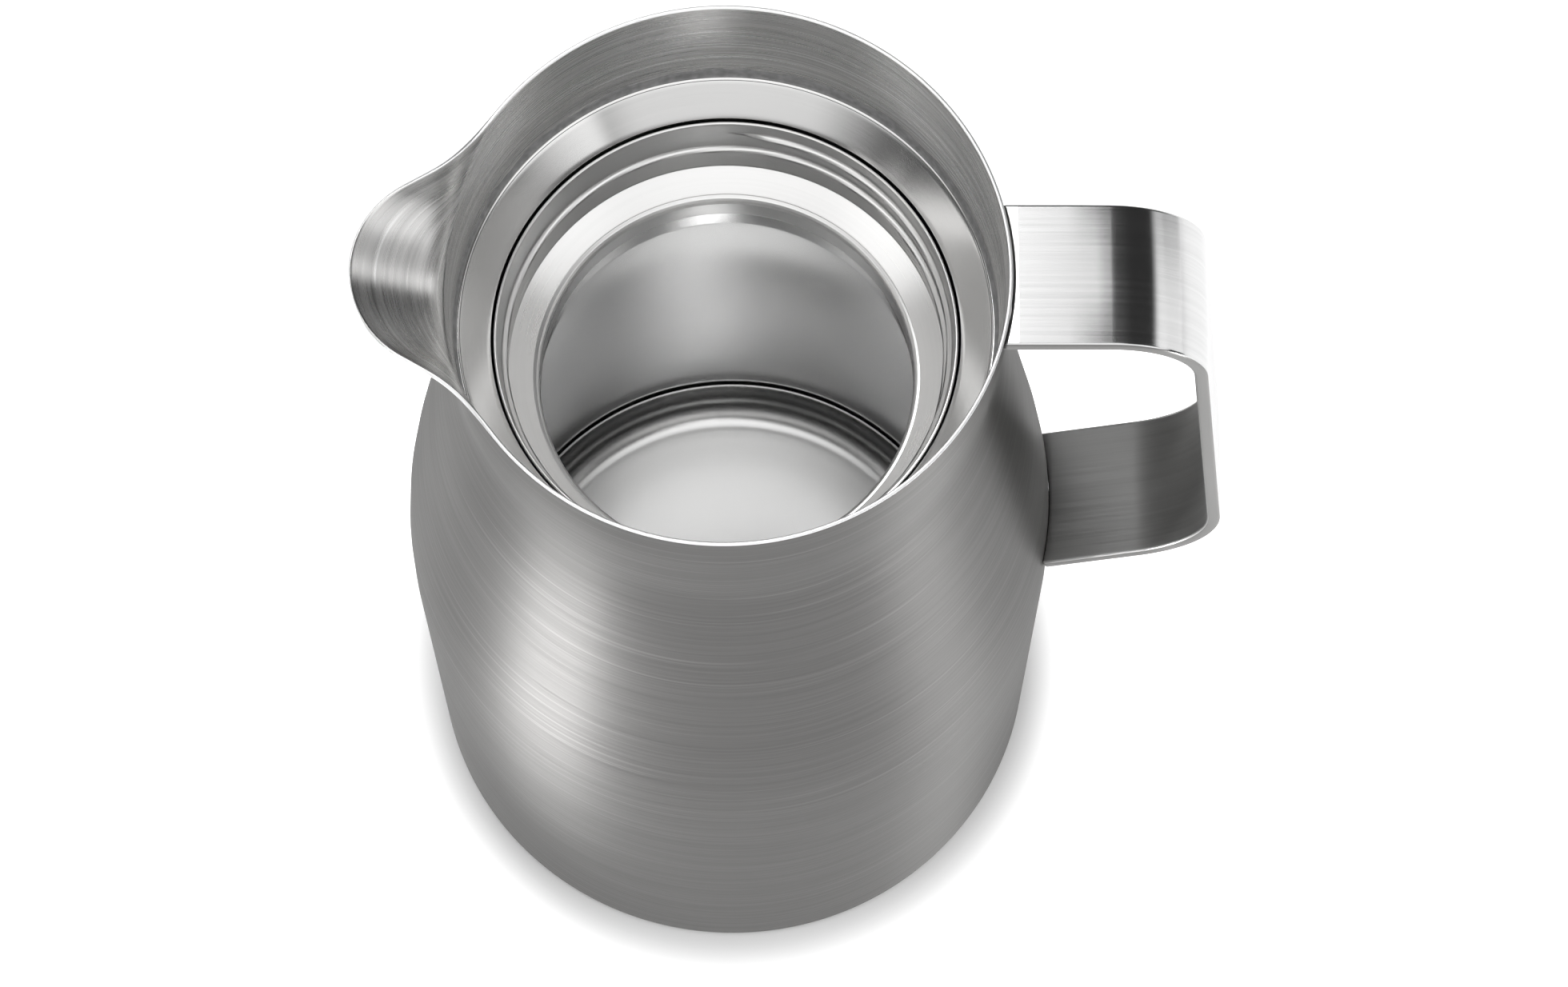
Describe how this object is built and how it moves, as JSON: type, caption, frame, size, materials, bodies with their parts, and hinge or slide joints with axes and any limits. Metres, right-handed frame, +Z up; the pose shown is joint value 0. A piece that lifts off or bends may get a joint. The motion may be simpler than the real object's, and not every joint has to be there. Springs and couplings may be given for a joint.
{
  "type": "thermal carafe",
  "caption": "Double-walled steel carafe with a vacuum insert, a threaded open neck, a pouring lip drawn from the collar and a bent strap handle.",
  "frame": {"origin": "centre of the foot pad's underside, on the body's axis, where the carafe stands", "axes": "+Z up along the body's axis, -X towards the pouring lip, +X towards the handle"},
  "size_m": [0.1534, 0.1192, 0.2171],
  "materials": {
    "brushed_shell": "satin, brushed round the body",
    "strap_steel": "fine satin along the strap",
    "polished_steel": "polished",
    "liner_steel": "fine satin",
    "plain_steel": "mill finish",
    "sealant": "translucent grey",
    "foil": "bright",
    "getter": "matt",
    "plug_metal": "matt",
    "soft_black": "matt"
  },
  "bodies": {
    "root": {"outer_shell": "brushed_shell", "collar_sealant": "sealant", "handle_strap": "strap_steel", "upper_weld": "plain_steel", "lower_weld": "plain_steel", "funnel_ring": "polished_steel", "neck_sleeve": "polished_steel", "liner_wall": "liner_steel", "liner_bottom": "liner_steel", "reflecting_foil": "foil", "getter_holder": "plain_steel", "getter_pill": "getter", "jacket_wall": "plain_steel", "jacket_bottom": "plain_steel", "evacuation_plug": "plug_metal", "plug_cap": "plain_steel", "centring_ring": "soft_black", "cushion_ring": "soft_black", "base_plate": "plain_steel", "foot_pad": "soft_black"}
  },
  "joints": []
}
